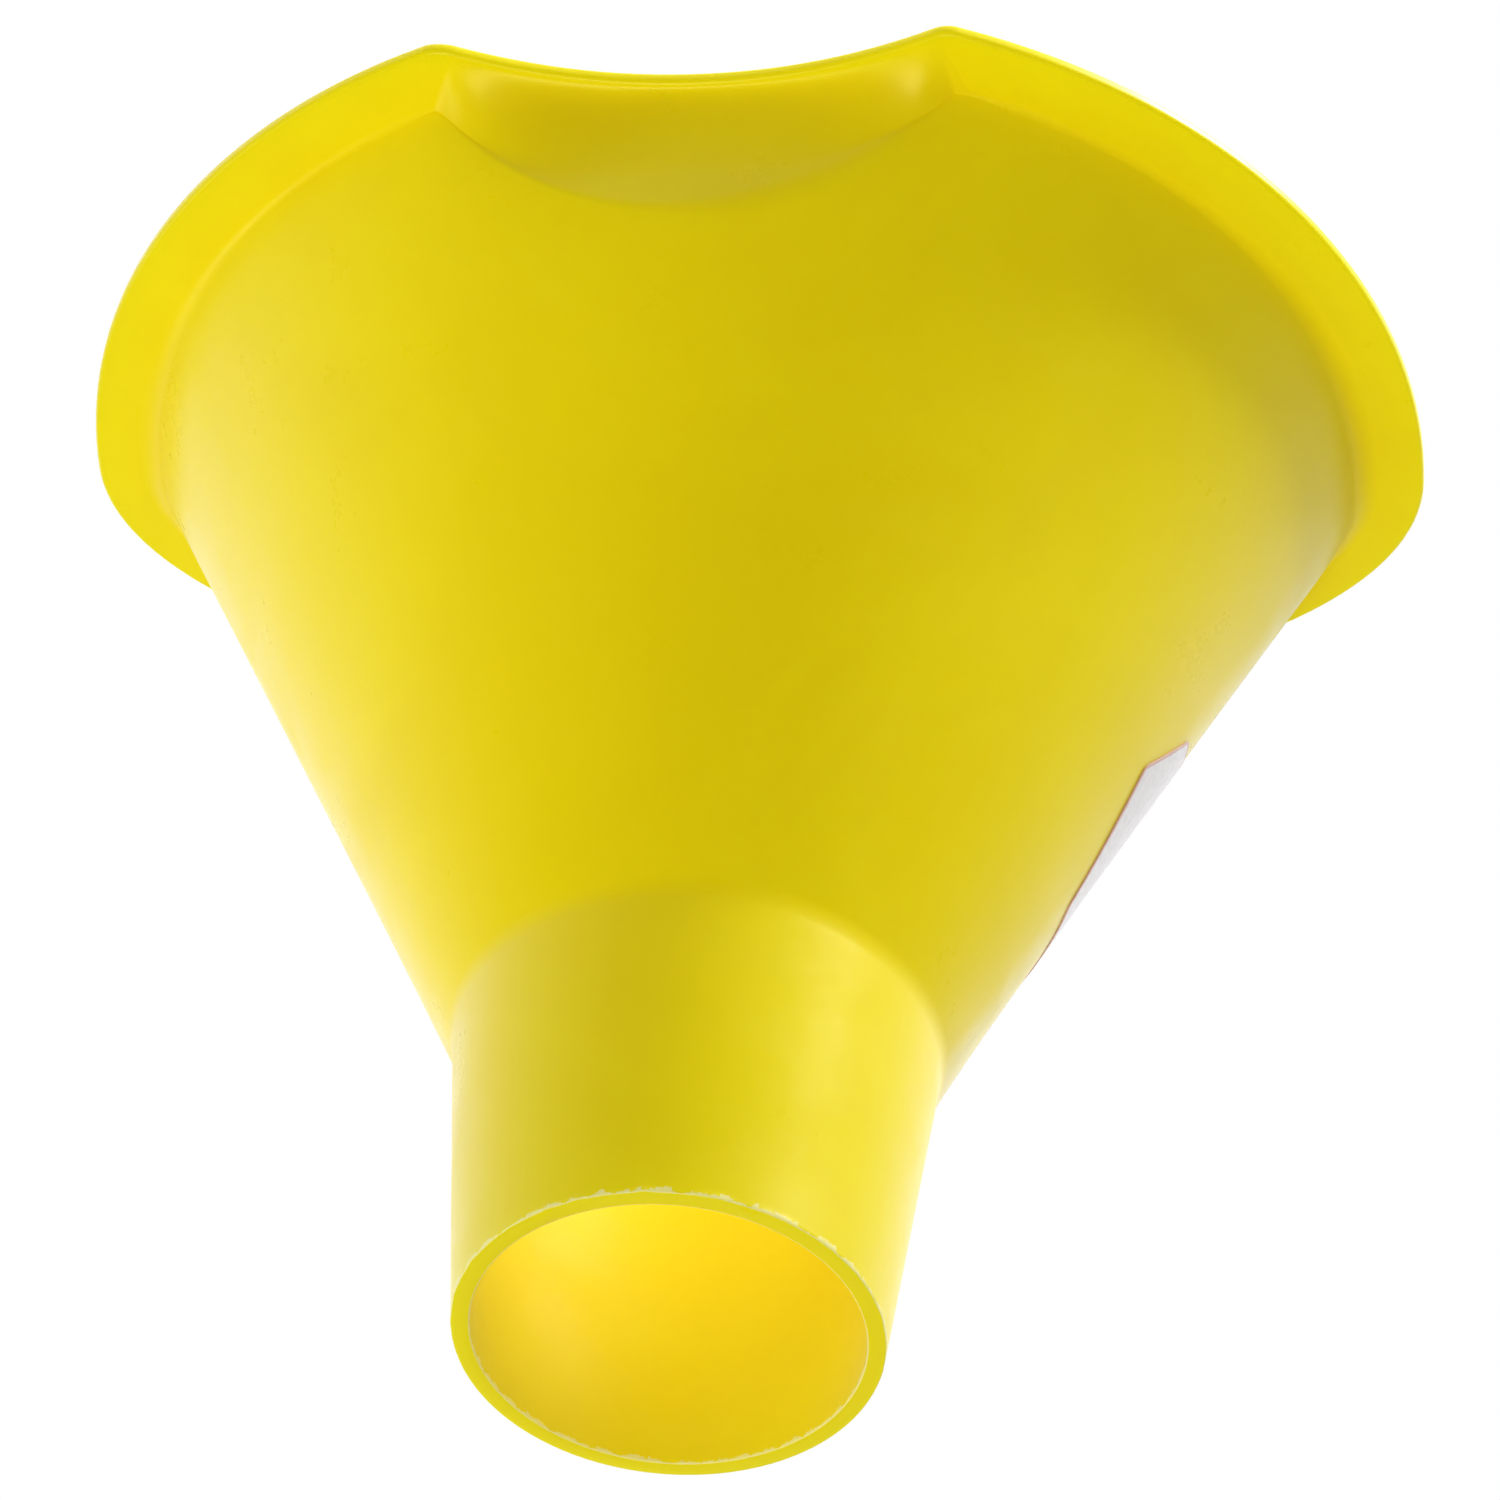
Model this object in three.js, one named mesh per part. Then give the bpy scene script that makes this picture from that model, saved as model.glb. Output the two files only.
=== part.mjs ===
// Moulded hand funnel with a notched oval mouth, and its adhesive label.
// Millimetres, +Z up. The funnel stands on the trimmed end of its spout, notch facing -Y.
import * as THREE from 'three';
import { mergeVertices } from 'three/addons/utils/BufferGeometryUtils.js';

// ---- Spout and cone ----
const SPOUT_END_R = 27;
const JUNCTION_R = 31.4;
const JUNCTION_Z = 47;
const MOUTH_Z = 154.3;
const WALL = 2.4;
const CONE_RADIAL_WALL = 2.67;

// ---- Mouth outline, measured to the outer face of the cone ----
const MOUTH_HALF_WIDTH = 83.3;
const MOUTH_FRONT = 75.6;
const CONE_BACK = 46;
const MOUTH_BACK = 35.9;
const BACK_DRAFT = Math.tan(THREE.MathUtils.degToRad(1.5));

// ---- Lip ----
const LIP_WIDTH = 8.6;
const LIP_RISE = 0.6;
const LIP_THICKNESS = 2.0;

// ---- Notch at the front of the mouth ----
const NOTCH_TURN = THREE.MathUtils.degToRad(3.3);
const NOTCH_HALF_ANGLE = THREE.MathUtils.degToRad(26.65);
const NOTCH_LIP_HALF_ANGLE = THREE.MathUtils.degToRad(23.1);
const NOTCH_WALL_DEPTH = 67.1;
const NOTCH_LIP_DEPTH = 71.4;

// ---- Cove between the wall and the underside of the lip ----
const COVE = 0.9;
const NOTCH_COVE_DROP = 9;
const NOTCH_COVE_SHARE = 0.85;
const COVE_STEPS = 4;

// ---- Label ----
const LABEL_LENGTH = 28;
const LABEL_HEIGHT = 42;
const LABEL_TILT = THREE.MathUtils.degToRad(15.8);
const LABEL_CORNER_CUT = 10;
const LABEL_GAP = 0.3;
const LABEL_THICKNESS = 0.4;
const LABEL_CORNER_ANGLE = THREE.MathUtils.degToRad(84.1);
const LABEL_CORNER_Z = 106;

// ---- Mesh density ----
const NOTCH_STEPS = 28;
const SIDE_STEPS = 40;
const BACK_STEPS = 48;

// Angles run from the notch side (-Y), positive toward +X.
function planPoint(angle, radius) {
  return new THREE.Vector2(radius * Math.sin(angle), -radius * Math.cos(angle));
}

function angleOf(point) {
  return Math.atan2(point.x, -point.y);
}

function ellipseRadius(angle, halfWidth, halfDepth) {
  const across = halfDepth * Math.sin(angle);
  const along = halfWidth * Math.cos(angle);
  return (halfWidth * halfDepth) / Math.hypot(across, along);
}

// Outer radius of the cone at an angle and height, before the walls cut it.
function coneRadius(angle, z) {
  const halfDepth = Math.cos(angle) > 0 ? MOUTH_FRONT : CONE_BACK;
  const top = ellipseRadius(angle, MOUTH_HALF_WIDTH, halfDepth);
  const share = (z - JUNCTION_Z) / (MOUTH_Z - JUNCTION_Z);
  return JUNCTION_R + (top - JUNCTION_R) * share;
}

// Circle arc through two corners and a middle depth on the notch centre line.
function notchArc(cornerAngle, cornerRadius, depth, share) {
  const halfChord = cornerRadius * Math.sin(cornerAngle);
  const sagitta = cornerRadius * Math.cos(cornerAngle) - depth;
  const radius = (halfChord ** 2 + sagitta ** 2) / (2 * sagitta);
  const sweep = Math.asin(halfChord / radius);
  const a = sweep * share;
  const x = radius * Math.sin(a);
  const y = -(depth + radius - radius * Math.cos(a));
  const turn = -NOTCH_TURN;
  return new THREE.Vector2(
    x * Math.cos(turn) - y * Math.sin(turn),
    x * Math.sin(turn) + y * Math.cos(turn),
  );
}

function notchStations() {
  const stations = [];
  const wallR = ellipseRadius(NOTCH_HALF_ANGLE, MOUTH_HALF_WIDTH, MOUTH_FRONT);
  const lipHalf = MOUTH_HALF_WIDTH + LIP_WIDTH;
  const lipR = ellipseRadius(NOTCH_LIP_HALF_ANGLE, lipHalf, MOUTH_FRONT + LIP_WIDTH);
  for (let i = 1; i < NOTCH_STEPS; i += 1) {
    const share = (2 * i) / NOTCH_STEPS - 1;
    stations.push({
      wall: notchArc(NOTCH_HALF_ANGLE, wallR, NOTCH_WALL_DEPTH, share),
      lip: notchArc(NOTCH_LIP_HALF_ANGLE, lipR, NOTCH_LIP_DEPTH, share),
      draft: 0,
      cove: Math.min(1, 4 * (1 - Math.abs(share))),
    });
  }
  return stations;
}

// Stations from the notch corner round one side; side is +1 for +X and -1 for -X.
function sideStations(side) {
  const stations = [];
  const wallStart = NOTCH_HALF_ANGLE - side * NOTCH_TURN;
  const lipStart = NOTCH_LIP_HALF_ANGLE - side * NOTCH_TURN;
  const quarter = Math.PI / 2;
  for (let i = 0; i < SIDE_STEPS; i += 1) {
    const share = i / SIDE_STEPS;
    const wallAngle = wallStart + (quarter - wallStart) * share;
    const lipAngle = lipStart + (quarter - lipStart) * share;
    const wallR = ellipseRadius(wallAngle, MOUTH_HALF_WIDTH, MOUTH_FRONT);
    const lipHalf = MOUTH_HALF_WIDTH + LIP_WIDTH;
    const lipR = ellipseRadius(lipAngle, lipHalf, MOUTH_FRONT + LIP_WIDTH);
    stations.push({
      wall: planPoint(side * wallAngle, wallR),
      lip: planPoint(side * lipAngle, lipR),
      draft: 0,
      cove: 0,
    });
  }
  return stations;
}

function backStations() {
  const stations = [];
  for (let i = 0; i <= BACK_STEPS; i += 1) {
    const a = (Math.PI * i) / BACK_STEPS;
    const x = Math.cos(a);
    const y = Math.sin(a);
    stations.push({
      wall: new THREE.Vector2(MOUTH_HALF_WIDTH * x, MOUTH_BACK * y),
      lip: new THREE.Vector2((MOUTH_HALF_WIDTH + LIP_WIDTH) * x, (MOUTH_BACK + LIP_WIDTH) * y),
      draft: BACK_DRAFT * Math.min(1, 2.5 * y),
      cove: 0,
    });
  }
  return stations;
}

// The whole outline, anticlockwise seen from above.
function outline() {
  const left = sideStations(-1).reverse();
  return [...notchStations(), ...sideStations(1), ...backStations(), ...left];
}

function addNormals(stations) {
  const count = stations.length;
  stations.forEach((station, i) => {
    const before = stations[(i + count - 1) % count].wall;
    const after = stations[(i + 1) % count].wall;
    const along = after.clone().sub(before).normalize();
    station.normal = new THREE.Vector2(along.y, -along.x);
  });
}

// Point of a wall at height z; inset moves it inward through the wall.
function wallPoint(station, z, inset) {
  const shift = inset + Math.max(0, MOUTH_Z - z) * station.draft;
  return station.wall.clone().addScaledVector(station.normal, -shift);
}

// Height at which the wall meets the cone.
function wallFoot(station, inset, coneInset, top) {
  const gap = (z) => {
    const p = wallPoint(station, z, inset);
    return p.length() - (coneRadius(angleOf(p), z) - coneInset);
  };
  if (gap(top) >= 0) {
    return top;
  }
  let low = JUNCTION_Z;
  let high = top;
  for (let i = 0; i < 40; i += 1) {
    const middle = (low + high) / 2;
    if (gap(middle) > 0) {
      low = middle;
    } else {
      high = middle;
    }
  }
  return low;
}

function lift(point, z) {
  return new THREE.Vector3(point.x, point.y, z);
}

// Point on a curve that leaves one line for another round their corner.
function roundedCorner(before, corner, after, share) {
  const first = before.clone().multiplyScalar((1 - share) ** 2);
  const middle = corner.clone().multiplyScalar(1.4 * share * (1 - share));
  const last = after.clone().multiplyScalar(share ** 2);
  const weight = (1 - share) ** 2 + 1.4 * share * (1 - share) + share ** 2;
  return first.add(middle).add(last).divideScalar(weight);
}

// Rounded step from the wall to the underside of the lip; it is deep only in the notch.
function cove(station, foot) {
  const corner = lift(station.wall, MOUTH_Z);
  const edge = lift(station.lip, MOUTH_Z + LIP_RISE);
  const room = corner.distanceTo(foot) * 0.85;
  const reach = corner.distanceTo(edge) * NOTCH_COVE_SHARE;
  const drop = Math.min(room, COVE + (NOTCH_COVE_DROP - COVE) * station.cove);
  const out = COVE + (reach - COVE) * station.cove;
  const before = corner.clone().lerp(foot, room > 0 ? drop / corner.distanceTo(foot) : 0);
  const after = corner.clone().lerp(edge, out / corner.distanceTo(edge));
  const points = [];
  for (let i = 0; i <= COVE_STEPS; i += 1) {
    points.push(roundedCorner(before, corner, after, i / COVE_STEPS));
  }
  return points;
}

// One section of the moulding, from the outer spout edge over the lip to the inner spout edge.
function section(station) {
  const footZ = wallFoot(station, 0, 0, MOUTH_Z);
  const foot = wallPoint(station, footZ, 0);
  const innerFootZ = wallFoot(station, WALL, CONE_RADIAL_WALL, MOUTH_Z + 1.2);
  const innerFoot = wallPoint(station, innerFootZ, WALL);
  const angle = angleOf(foot);
  const innerAngle = angleOf(innerFoot);
  const lipTop = MOUTH_Z + LIP_RISE + LIP_THICKNESS;
  const innerJunctionZ = JUNCTION_Z + 0.6;
  return [
    lift(planPoint(angle, SPOUT_END_R), 0),
    lift(planPoint(angle, JUNCTION_R), JUNCTION_Z),
    lift(foot, footZ),
    ...cove(station, lift(foot, footZ)),
    lift(station.lip, MOUTH_Z + LIP_RISE),
    lift(station.lip, lipTop),
    lift(wallPoint(station, MOUTH_Z, WALL), lipTop),
    lift(innerFoot, innerFootZ),
    lift(planPoint(innerAngle, JUNCTION_R - WALL), innerJunctionZ),
    lift(planPoint(innerAngle, SPOUT_END_R - WALL), 0),
  ];
}

function finish(positions, indices) {
  const geometry = new THREE.BufferGeometry();
  geometry.setAttribute('position', new THREE.Float32BufferAttribute(positions, 3));
  geometry.setIndex(indices);
  const merged = mergeVertices(geometry, 1e-3);
  const kept = [];
  const source = merged.index.array;
  for (let i = 0; i < source.length; i += 3) {
    const [a, b, c] = [source[i], source[i + 1], source[i + 2]];
    if (a !== b && b !== c && c !== a) {
      kept.push(a, b, c);
    }
  }
  merged.setIndex(kept);
  merged.computeVertexNormals();
  return merged;
}

// Skin over closed sections; each section is a closed loop, and the sections close into a ring.
function ringSkin(sections) {
  const positions = [];
  const indices = [];
  const rows = sections[0].length;
  sections.forEach((row) => row.forEach((p) => positions.push(p.x, p.y, p.z)));
  sections.forEach((_, i) => {
    const next = (i + 1) % sections.length;
    for (let j = 0; j < rows; j += 1) {
      const up = (j + 1) % rows;
      const a = i * rows + j;
      const b = next * rows + j;
      const c = next * rows + up;
      const d = i * rows + up;
      indices.push(a, b, c, a, c, d);
    }
  });
  return finish(positions, indices);
}

function funnelBody() {
  const stations = outline();
  addNormals(stations);
  return ringSkin(stations.map(section));
}

// Point on the cone at a distance round (mm) and up the slope (mm) from the label corner.
function labelPoint(round, up, offset) {
  const slope = (coneRadius(LABEL_CORNER_ANGLE, MOUTH_Z) - JUNCTION_R) / (MOUTH_Z - JUNCTION_Z);
  const z = LABEL_CORNER_Z + up / Math.hypot(1, slope);
  const radius = coneRadius(LABEL_CORNER_ANGLE, z);
  const angle = LABEL_CORNER_ANGLE + round / radius;
  const out = offset / Math.hypot(1, slope);
  const p = planPoint(angle, coneRadius(angle, z) + out);
  return lift(p, z - out * slope);
}

// Half height of the label at a position along it; its corners are cut off straight.
function labelHalf(along) {
  const fromEnd = Math.min(along, LABEL_LENGTH - along);
  return LABEL_HEIGHT / 2 - Math.max(0, LABEL_CORNER_CUT - fromEnd);
}

function label() {
  const bend = [0, 0.25, 0.5, 0.75, 1].map((share) => share * LABEL_CORNER_CUT);
  const columns = [...bend];
  const plain = LABEL_LENGTH - 2 * LABEL_CORNER_CUT;
  for (let i = 1; i < 5; i += 1) {
    columns.push(LABEL_CORNER_CUT + (plain * i) / 5);
  }
  columns.push(...bend.reverse().map((a) => LABEL_LENGTH - a));
  const rows = 9;
  const at = (along, share, offset) => {
    const down = LABEL_HEIGHT / 2 - labelHalf(along) * share;
    const round = along * Math.cos(LABEL_TILT) + down * Math.sin(LABEL_TILT);
    const up = along * Math.sin(LABEL_TILT) - down * Math.cos(LABEL_TILT);
    return labelPoint(round, up, offset);
  };
  const positions = [];
  const indices = [];
  const layers = [LABEL_GAP, LABEL_GAP + LABEL_THICKNESS];
  layers.forEach((offset) => {
    columns.forEach((along) => {
      for (let j = 0; j <= rows; j += 1) {
        const p = at(along, (2 * j) / rows - 1, offset);
        positions.push(p.x, p.y, p.z);
      }
    });
  });
  const id = (layer, i, j) => (layer * columns.length + i) * (rows + 1) + j;
  const quad = (a, b, c, d) => indices.push(a, b, c, a, c, d);
  const last = columns.length - 1;
  for (let i = 0; i < last; i += 1) {
    for (let j = 0; j < rows; j += 1) {
      quad(id(1, i, j), id(1, i + 1, j), id(1, i + 1, j + 1), id(1, i, j + 1));
      quad(id(0, i, j), id(0, i, j + 1), id(0, i + 1, j + 1), id(0, i + 1, j));
    }
    quad(id(0, i, 0), id(0, i + 1, 0), id(1, i + 1, 0), id(1, i, 0));
    quad(id(1, i, rows), id(1, i + 1, rows), id(0, i + 1, rows), id(0, i, rows));
  }
  for (let j = 0; j < rows; j += 1) {
    quad(id(0, 0, j), id(1, 0, j), id(1, 0, j + 1), id(0, 0, j + 1));
    quad(id(1, last, j), id(0, last, j), id(0, last, j + 1), id(1, last, j + 1));
  }
  return finish(positions, indices);
}

function named(name, geometry, color, roughness) {
  const material = new THREE.MeshStandardMaterial({ color, roughness, metalness: 0 });
  material.name = `${name}_finish`;
  const mesh = new THREE.Mesh(geometry, material);
  mesh.name = name;
  return mesh;
}

// The spout axis sits behind the middle of the mouth, so everything is moved by the same step
// to put the origin under the middle of the moulding.
function centred(geometries) {
  const [body] = geometries;
  body.computeBoundingBox();
  const middle = body.boundingBox.getCenter(new THREE.Vector3());
  geometries.forEach((geometry) => geometry.translate(-middle.x, -middle.y, 0));
  return geometries;
}

const [bodyGeometry, labelGeometry] = centred([funnelBody(), label()]);
const part = new THREE.Group();
part.name = 'funnel';
part.add(named('funnel_body', bodyGeometry, 0xf2d600, 0.35));
part.add(named('label', labelGeometry, 0xeeeae6, 0.5));

export default part;
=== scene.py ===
"""Looks for a moulded hand funnel with a notched oval mouth and an adhesive label.

Metres, +Z up. The funnel stands on the trimmed end of its spout, with the notch facing -Y.
"""
import logging
import math
from dataclasses import dataclass, field
from enum import Enum
from typing import Iterable, Sequence

import bmesh
import bpy
from mathutils import Matrix, Vector, noise


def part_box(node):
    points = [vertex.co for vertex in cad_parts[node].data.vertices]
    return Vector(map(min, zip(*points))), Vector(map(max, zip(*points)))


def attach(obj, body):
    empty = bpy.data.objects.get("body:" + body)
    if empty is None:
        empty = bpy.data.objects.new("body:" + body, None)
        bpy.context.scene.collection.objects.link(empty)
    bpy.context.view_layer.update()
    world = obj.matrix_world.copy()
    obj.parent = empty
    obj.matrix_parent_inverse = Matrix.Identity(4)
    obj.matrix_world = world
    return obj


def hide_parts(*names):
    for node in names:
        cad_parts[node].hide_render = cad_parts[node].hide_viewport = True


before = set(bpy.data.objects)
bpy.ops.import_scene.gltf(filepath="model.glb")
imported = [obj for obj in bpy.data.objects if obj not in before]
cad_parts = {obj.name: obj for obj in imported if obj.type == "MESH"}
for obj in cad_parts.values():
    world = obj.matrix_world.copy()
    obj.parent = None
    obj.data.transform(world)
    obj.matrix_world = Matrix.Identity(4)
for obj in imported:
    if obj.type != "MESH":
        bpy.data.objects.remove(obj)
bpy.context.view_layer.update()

MM = 0.001
LABEL_LENGTH = 28.0 * MM
LABEL_HEIGHT = 42.0 * MM
LABEL_CUT = 10.0 * MM
FILLET_ROOM = 0.96
NO_LENGTH = 1e-14
INNER_FACE = "inner_face"

logging.basicConfig(level=logging.INFO, format="%(levelname)s %(message)s")
log = logging.getLogger("funnel")


class Zone(Enum):
    """Stretches of the mouth's outline."""

    NOTCH = "notch"
    CORNER = "corner"
    SIDE = "side"
    BACK = "back"


# --------------------------------------------------------------------------------------
# Small tools shared by the builders
# --------------------------------------------------------------------------------------


def deselect_everything() -> None:
    """Leaves Object mode with nothing selected and nothing active."""
    if bpy.context.object is not None and bpy.context.object.mode != "OBJECT":
        bpy.ops.object.mode_set(mode="OBJECT")
    bpy.ops.object.select_all(action="DESELECT")
    bpy.context.view_layer.objects.active = None


def make_active(piece: bpy.types.Object) -> None:
    """Selects one object alone and makes it the active one.

    Args:
        piece: The object to work on.
    """
    deselect_everything()
    piece.select_set(True)
    bpy.context.view_layer.objects.active = piece


def plan_point(angle: float, radius: float) -> Vector:
    """Point in plan, about the spout's axis.

    Args:
        angle: Radians from -Y, positive toward +X.
        radius: Distance from the axis, in metres.

    Returns:
        The point, as a 2D vector.
    """
    return Vector((radius * math.sin(angle), -radius * math.cos(angle)))


def angle_of(point: Vector) -> float:
    """Angle of a plan point.

    Args:
        point: The 2D point.

    Returns:
        Radians from -Y, positive toward +X.
    """
    return math.atan2(point.x, -point.y)


def ellipse_radius(angle: float, half_width: float, half_depth: float) -> float:
    """Radius of an ellipse at an angle.

    Args:
        angle: Radians from -Y.
        half_width: Half size along X.
        half_depth: Half size along Y.

    Returns:
        The distance from the centre to the ellipse.
    """
    across = half_depth * math.sin(angle)
    along = half_width * math.cos(angle)
    return half_width * half_depth / math.hypot(across, along)


def smooth(share: float) -> float:
    """Eases a share from 0 to 1.

    Args:
        share: Any number; it is clamped first.

    Returns:
        The eased share.
    """
    s = min(1.0, max(0.0, share))
    return s * s * (3.0 - 2.0 * s)


def mix(low: float, high: float, share: float) -> float:
    """Value between two others.

    Args:
        low: Value at share 0.
        high: Value at share 1.
        share: How far along.

    Returns:
        The blended value.
    """
    return low + (high - low) * share


def round_over(
    before: Vector, corner: Vector, after: Vector, share: float, fullness: float = 1.0
) -> Vector:
    """Point on the arc that rounds a corner.

    Args:
        before: Tangent point on the way in.
        corner: The sharp corner.
        after: Tangent point on the way out, as far from the corner as before.
        share: How far along the arc, from 0 to 1.
        fullness: 1 for a circular arc; less stays nearer the straight cut across the corner.

    Returns:
        The point, on a circular arc when both tangents are as long.
    """
    inward = before - corner
    outward = after - corner
    lengths = inward.length * outward.length
    turn = 1.0 if lengths < NO_LENGTH else max(-1.0, min(1.0, inward.dot(outward) / lengths))
    weight = math.sqrt(max(0.0, (1.0 - turn) / 2.0)) * fullness
    a = (1.0 - share) ** 2
    b = 2.0 * share * (1.0 - share) * weight
    c = share**2
    return (before * a + corner * b + after * c) / (a + b + c)


@dataclass
class Rounding:
    """How one corner of a section is rounded."""

    before: float
    after: float
    steps: int
    fullness: float = 1.0


def filleted(points: Sequence[Vector], roundings: Sequence[Rounding]) -> list[Vector]:
    """Rounds each corner of a closed section.

    Args:
        points: The section's corners, in order.
        roundings: One rounding for each corner.

    Returns:
        The rounded section's points, in order.
    """
    count = len(points)
    before = [r.before for r in roundings]
    after = [r.after for r in roundings]
    for i in range(count):
        j = (i + 1) % count
        room = (points[j] - points[i]).length * FILLET_ROOM
        if after[i] + before[j] > room:
            scale = room / (after[i] + before[j])
            after[i] *= scale
            before[j] *= scale
    out: list[Vector] = []
    for i, corner in enumerate(points):
        into = (points[i - 1] - corner).normalized()
        away = (points[(i + 1) % count] - corner).normalized()
        start = corner + into * before[i]
        end = corner + away * after[i]
        steps = roundings[i].steps
        fullness = roundings[i].fullness
        out.extend(round_over(start, corner, end, k / steps, fullness) for k in range(steps + 1))
    return out


# --------------------------------------------------------------------------------------
# Node helpers
# --------------------------------------------------------------------------------------


@dataclass
class NodeSheet:
    """Adds and joins shader nodes in one tree."""

    tree: bpy.types.NodeTree

    def add(self, kind: str, **values: object) -> bpy.types.Node:
        """Adds a node and sets its properties or inputs.

        Args:
            kind: The node's type name.
            **values: Property names, or input names with spaces written as underscores.

        Returns:
            The new node.
        """
        node = self.tree.nodes.new(kind)
        for name, value in values.items():
            if hasattr(node, name) and name not in ("inputs", "outputs"):
                setattr(node, name, value)
            else:
                node.inputs[name.replace("_", " ")].default_value = value
        return node

    def join(self, source: bpy.types.NodeSocket, target: bpy.types.NodeSocket) -> None:
        """Links two sockets."""
        self.tree.links.new(source, target)

    def math(
        self, operation: str, a: object, b: object = None, clamp: bool = False
    ) -> bpy.types.NodeSocket:
        """Adds a Math node.

        Args:
            operation: The Math node's operation.
            a: First socket or number.
            b: Second socket or number, where it has one.
            clamp: Whether the result stays within 0 and 1.

        Returns:
            The result's socket.
        """
        node = self.tree.nodes.new("ShaderNodeMath")
        node.operation = operation
        node.use_clamp = clamp
        for slot, value in zip(node.inputs, (a, b)):
            if value is None:
                continue
            if isinstance(value, bpy.types.NodeSocket):
                self.join(value, slot)
            else:
                slot.default_value = float(value)
        return node.outputs[0]

    def blend(self, share: object, low: object, high: object) -> bpy.types.NodeSocket:
        """Adds a colour Mix node.

        Args:
            share: Socket or number from 0 to 1.
            low: Colour or socket at 0.
            high: Colour or socket at 1.

        Returns:
            The mixed colour's socket.
        """
        node = self.tree.nodes.new("ShaderNodeMix")
        node.data_type = "RGBA"
        for slot, value in ((node.inputs[0], share), (node.inputs[6], low), (node.inputs[7], high)):
            if isinstance(value, bpy.types.NodeSocket):
                self.join(value, slot)
            elif isinstance(value, (int, float)):
                slot.default_value = value
            else:
                slot.default_value = (*value, 1.0)
        return node.outputs[2]

    def spread(
        self, value: bpy.types.NodeSocket, low: float, high: float, to_low: float, to_high: float
    ) -> bpy.types.NodeSocket:
        """Adds a Map Range node.

        Args:
            value: The socket to map.
            low: Value that becomes to_low.
            high: Value that becomes to_high.
            to_low: Result at low.
            to_high: Result at high.

        Returns:
            The mapped value's socket.
        """
        node = self.tree.nodes.new("ShaderNodeMapRange")
        node.interpolation_type = "SMOOTHSTEP"
        self.join(value, node.inputs["Value"])
        limits = {"From Min": low, "From Max": high, "To Min": to_low, "To Max": to_high}
        for name, number in limits.items():
            node.inputs[name].default_value = number
        return node.outputs["Result"]


def new_group(
    name: str, inputs: Iterable[tuple[str, str]], outputs: Iterable[tuple[str, str]]
) -> tuple[bpy.types.NodeTree, bpy.types.Node, bpy.types.Node]:
    """Starts a shader node group.

    Args:
        name: The group's name.
        inputs: Name and socket type of each input.
        outputs: Name and socket type of each output.

    Returns:
        The group, its input node and its output node.
    """
    group = bpy.data.node_groups.new(name, "ShaderNodeTree")
    for label, kind in inputs:
        group.interface.new_socket(label, in_out="INPUT", socket_type=kind)
    for label, kind in outputs:
        group.interface.new_socket(label, in_out="OUTPUT", socket_type=kind)
    return group, group.nodes.new("NodeGroupInput"), group.nodes.new("NodeGroupOutput")


def moulded_skin_group(
    grain_depth: float = 0.004, speck_rarity: float = 0.9996
) -> bpy.types.NodeTree:
    """Makes the shared look of a moulded skin: waviness, fine grain and specks.

    Args:
        grain_depth: Height of the fine grain against the waviness.
        speck_rarity: Share of the cells that stay without a speck.

    Returns:
        A group that takes a place and gives Height, Haze, Cloud and Speck.
    """
    group, source, sink = new_group(
        "moulded_skin",
        [("Place", "NodeSocketVector")],
        [(n, "NodeSocketFloat") for n in ("Height", "Haze", "Cloud", "Speck")],
    )
    sheet = NodeSheet(group)
    place = source.outputs["Place"]
    waves = sheet.add("ShaderNodeTexNoise", Scale=26.0, Detail=1.0, Roughness=0.4)
    grain = sheet.add("ShaderNodeTexNoise", Scale=620.0, Detail=3.0, Roughness=0.55)
    cloud = sheet.add("ShaderNodeTexNoise", Scale=14.0, Detail=4.0, Roughness=0.6, Distortion=0.6)
    haze = sheet.add("ShaderNodeTexNoise", Scale=85.0, Detail=5.0, Roughness=0.65)
    for node in (waves, grain, cloud, haze):
        sheet.join(place, node.inputs["Vector"])
    cells = sheet.add("ShaderNodeTexVoronoi", feature="F1", Scale=120.0)
    sheet.join(place, cells.inputs["Vector"])
    tone = sheet.add("ShaderNodeSeparateColor")
    sheet.join(cells.outputs["Color"], tone.inputs["Color"])
    rare = sheet.math("GREATER_THAN", tone.outputs["Red"], speck_rarity)
    dot = sheet.spread(cells.outputs["Distance"], 0.02, 0.055, 1.0, 0.0)
    speck = sheet.math("MULTIPLY", rare, dot)
    fine = sheet.math("MULTIPLY", grain.outputs["Fac"], grain_depth)
    height = sheet.math("ADD", waves.outputs["Fac"], fine)
    sheet.join(height, sink.inputs["Height"])
    sheet.join(haze.outputs["Fac"], sink.inputs["Haze"])
    sheet.join(cloud.outputs["Fac"], sink.inputs["Cloud"])
    sheet.join(speck, sink.inputs["Speck"])
    return group


# --------------------------------------------------------------------------------------
# Finishes
# --------------------------------------------------------------------------------------


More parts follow.
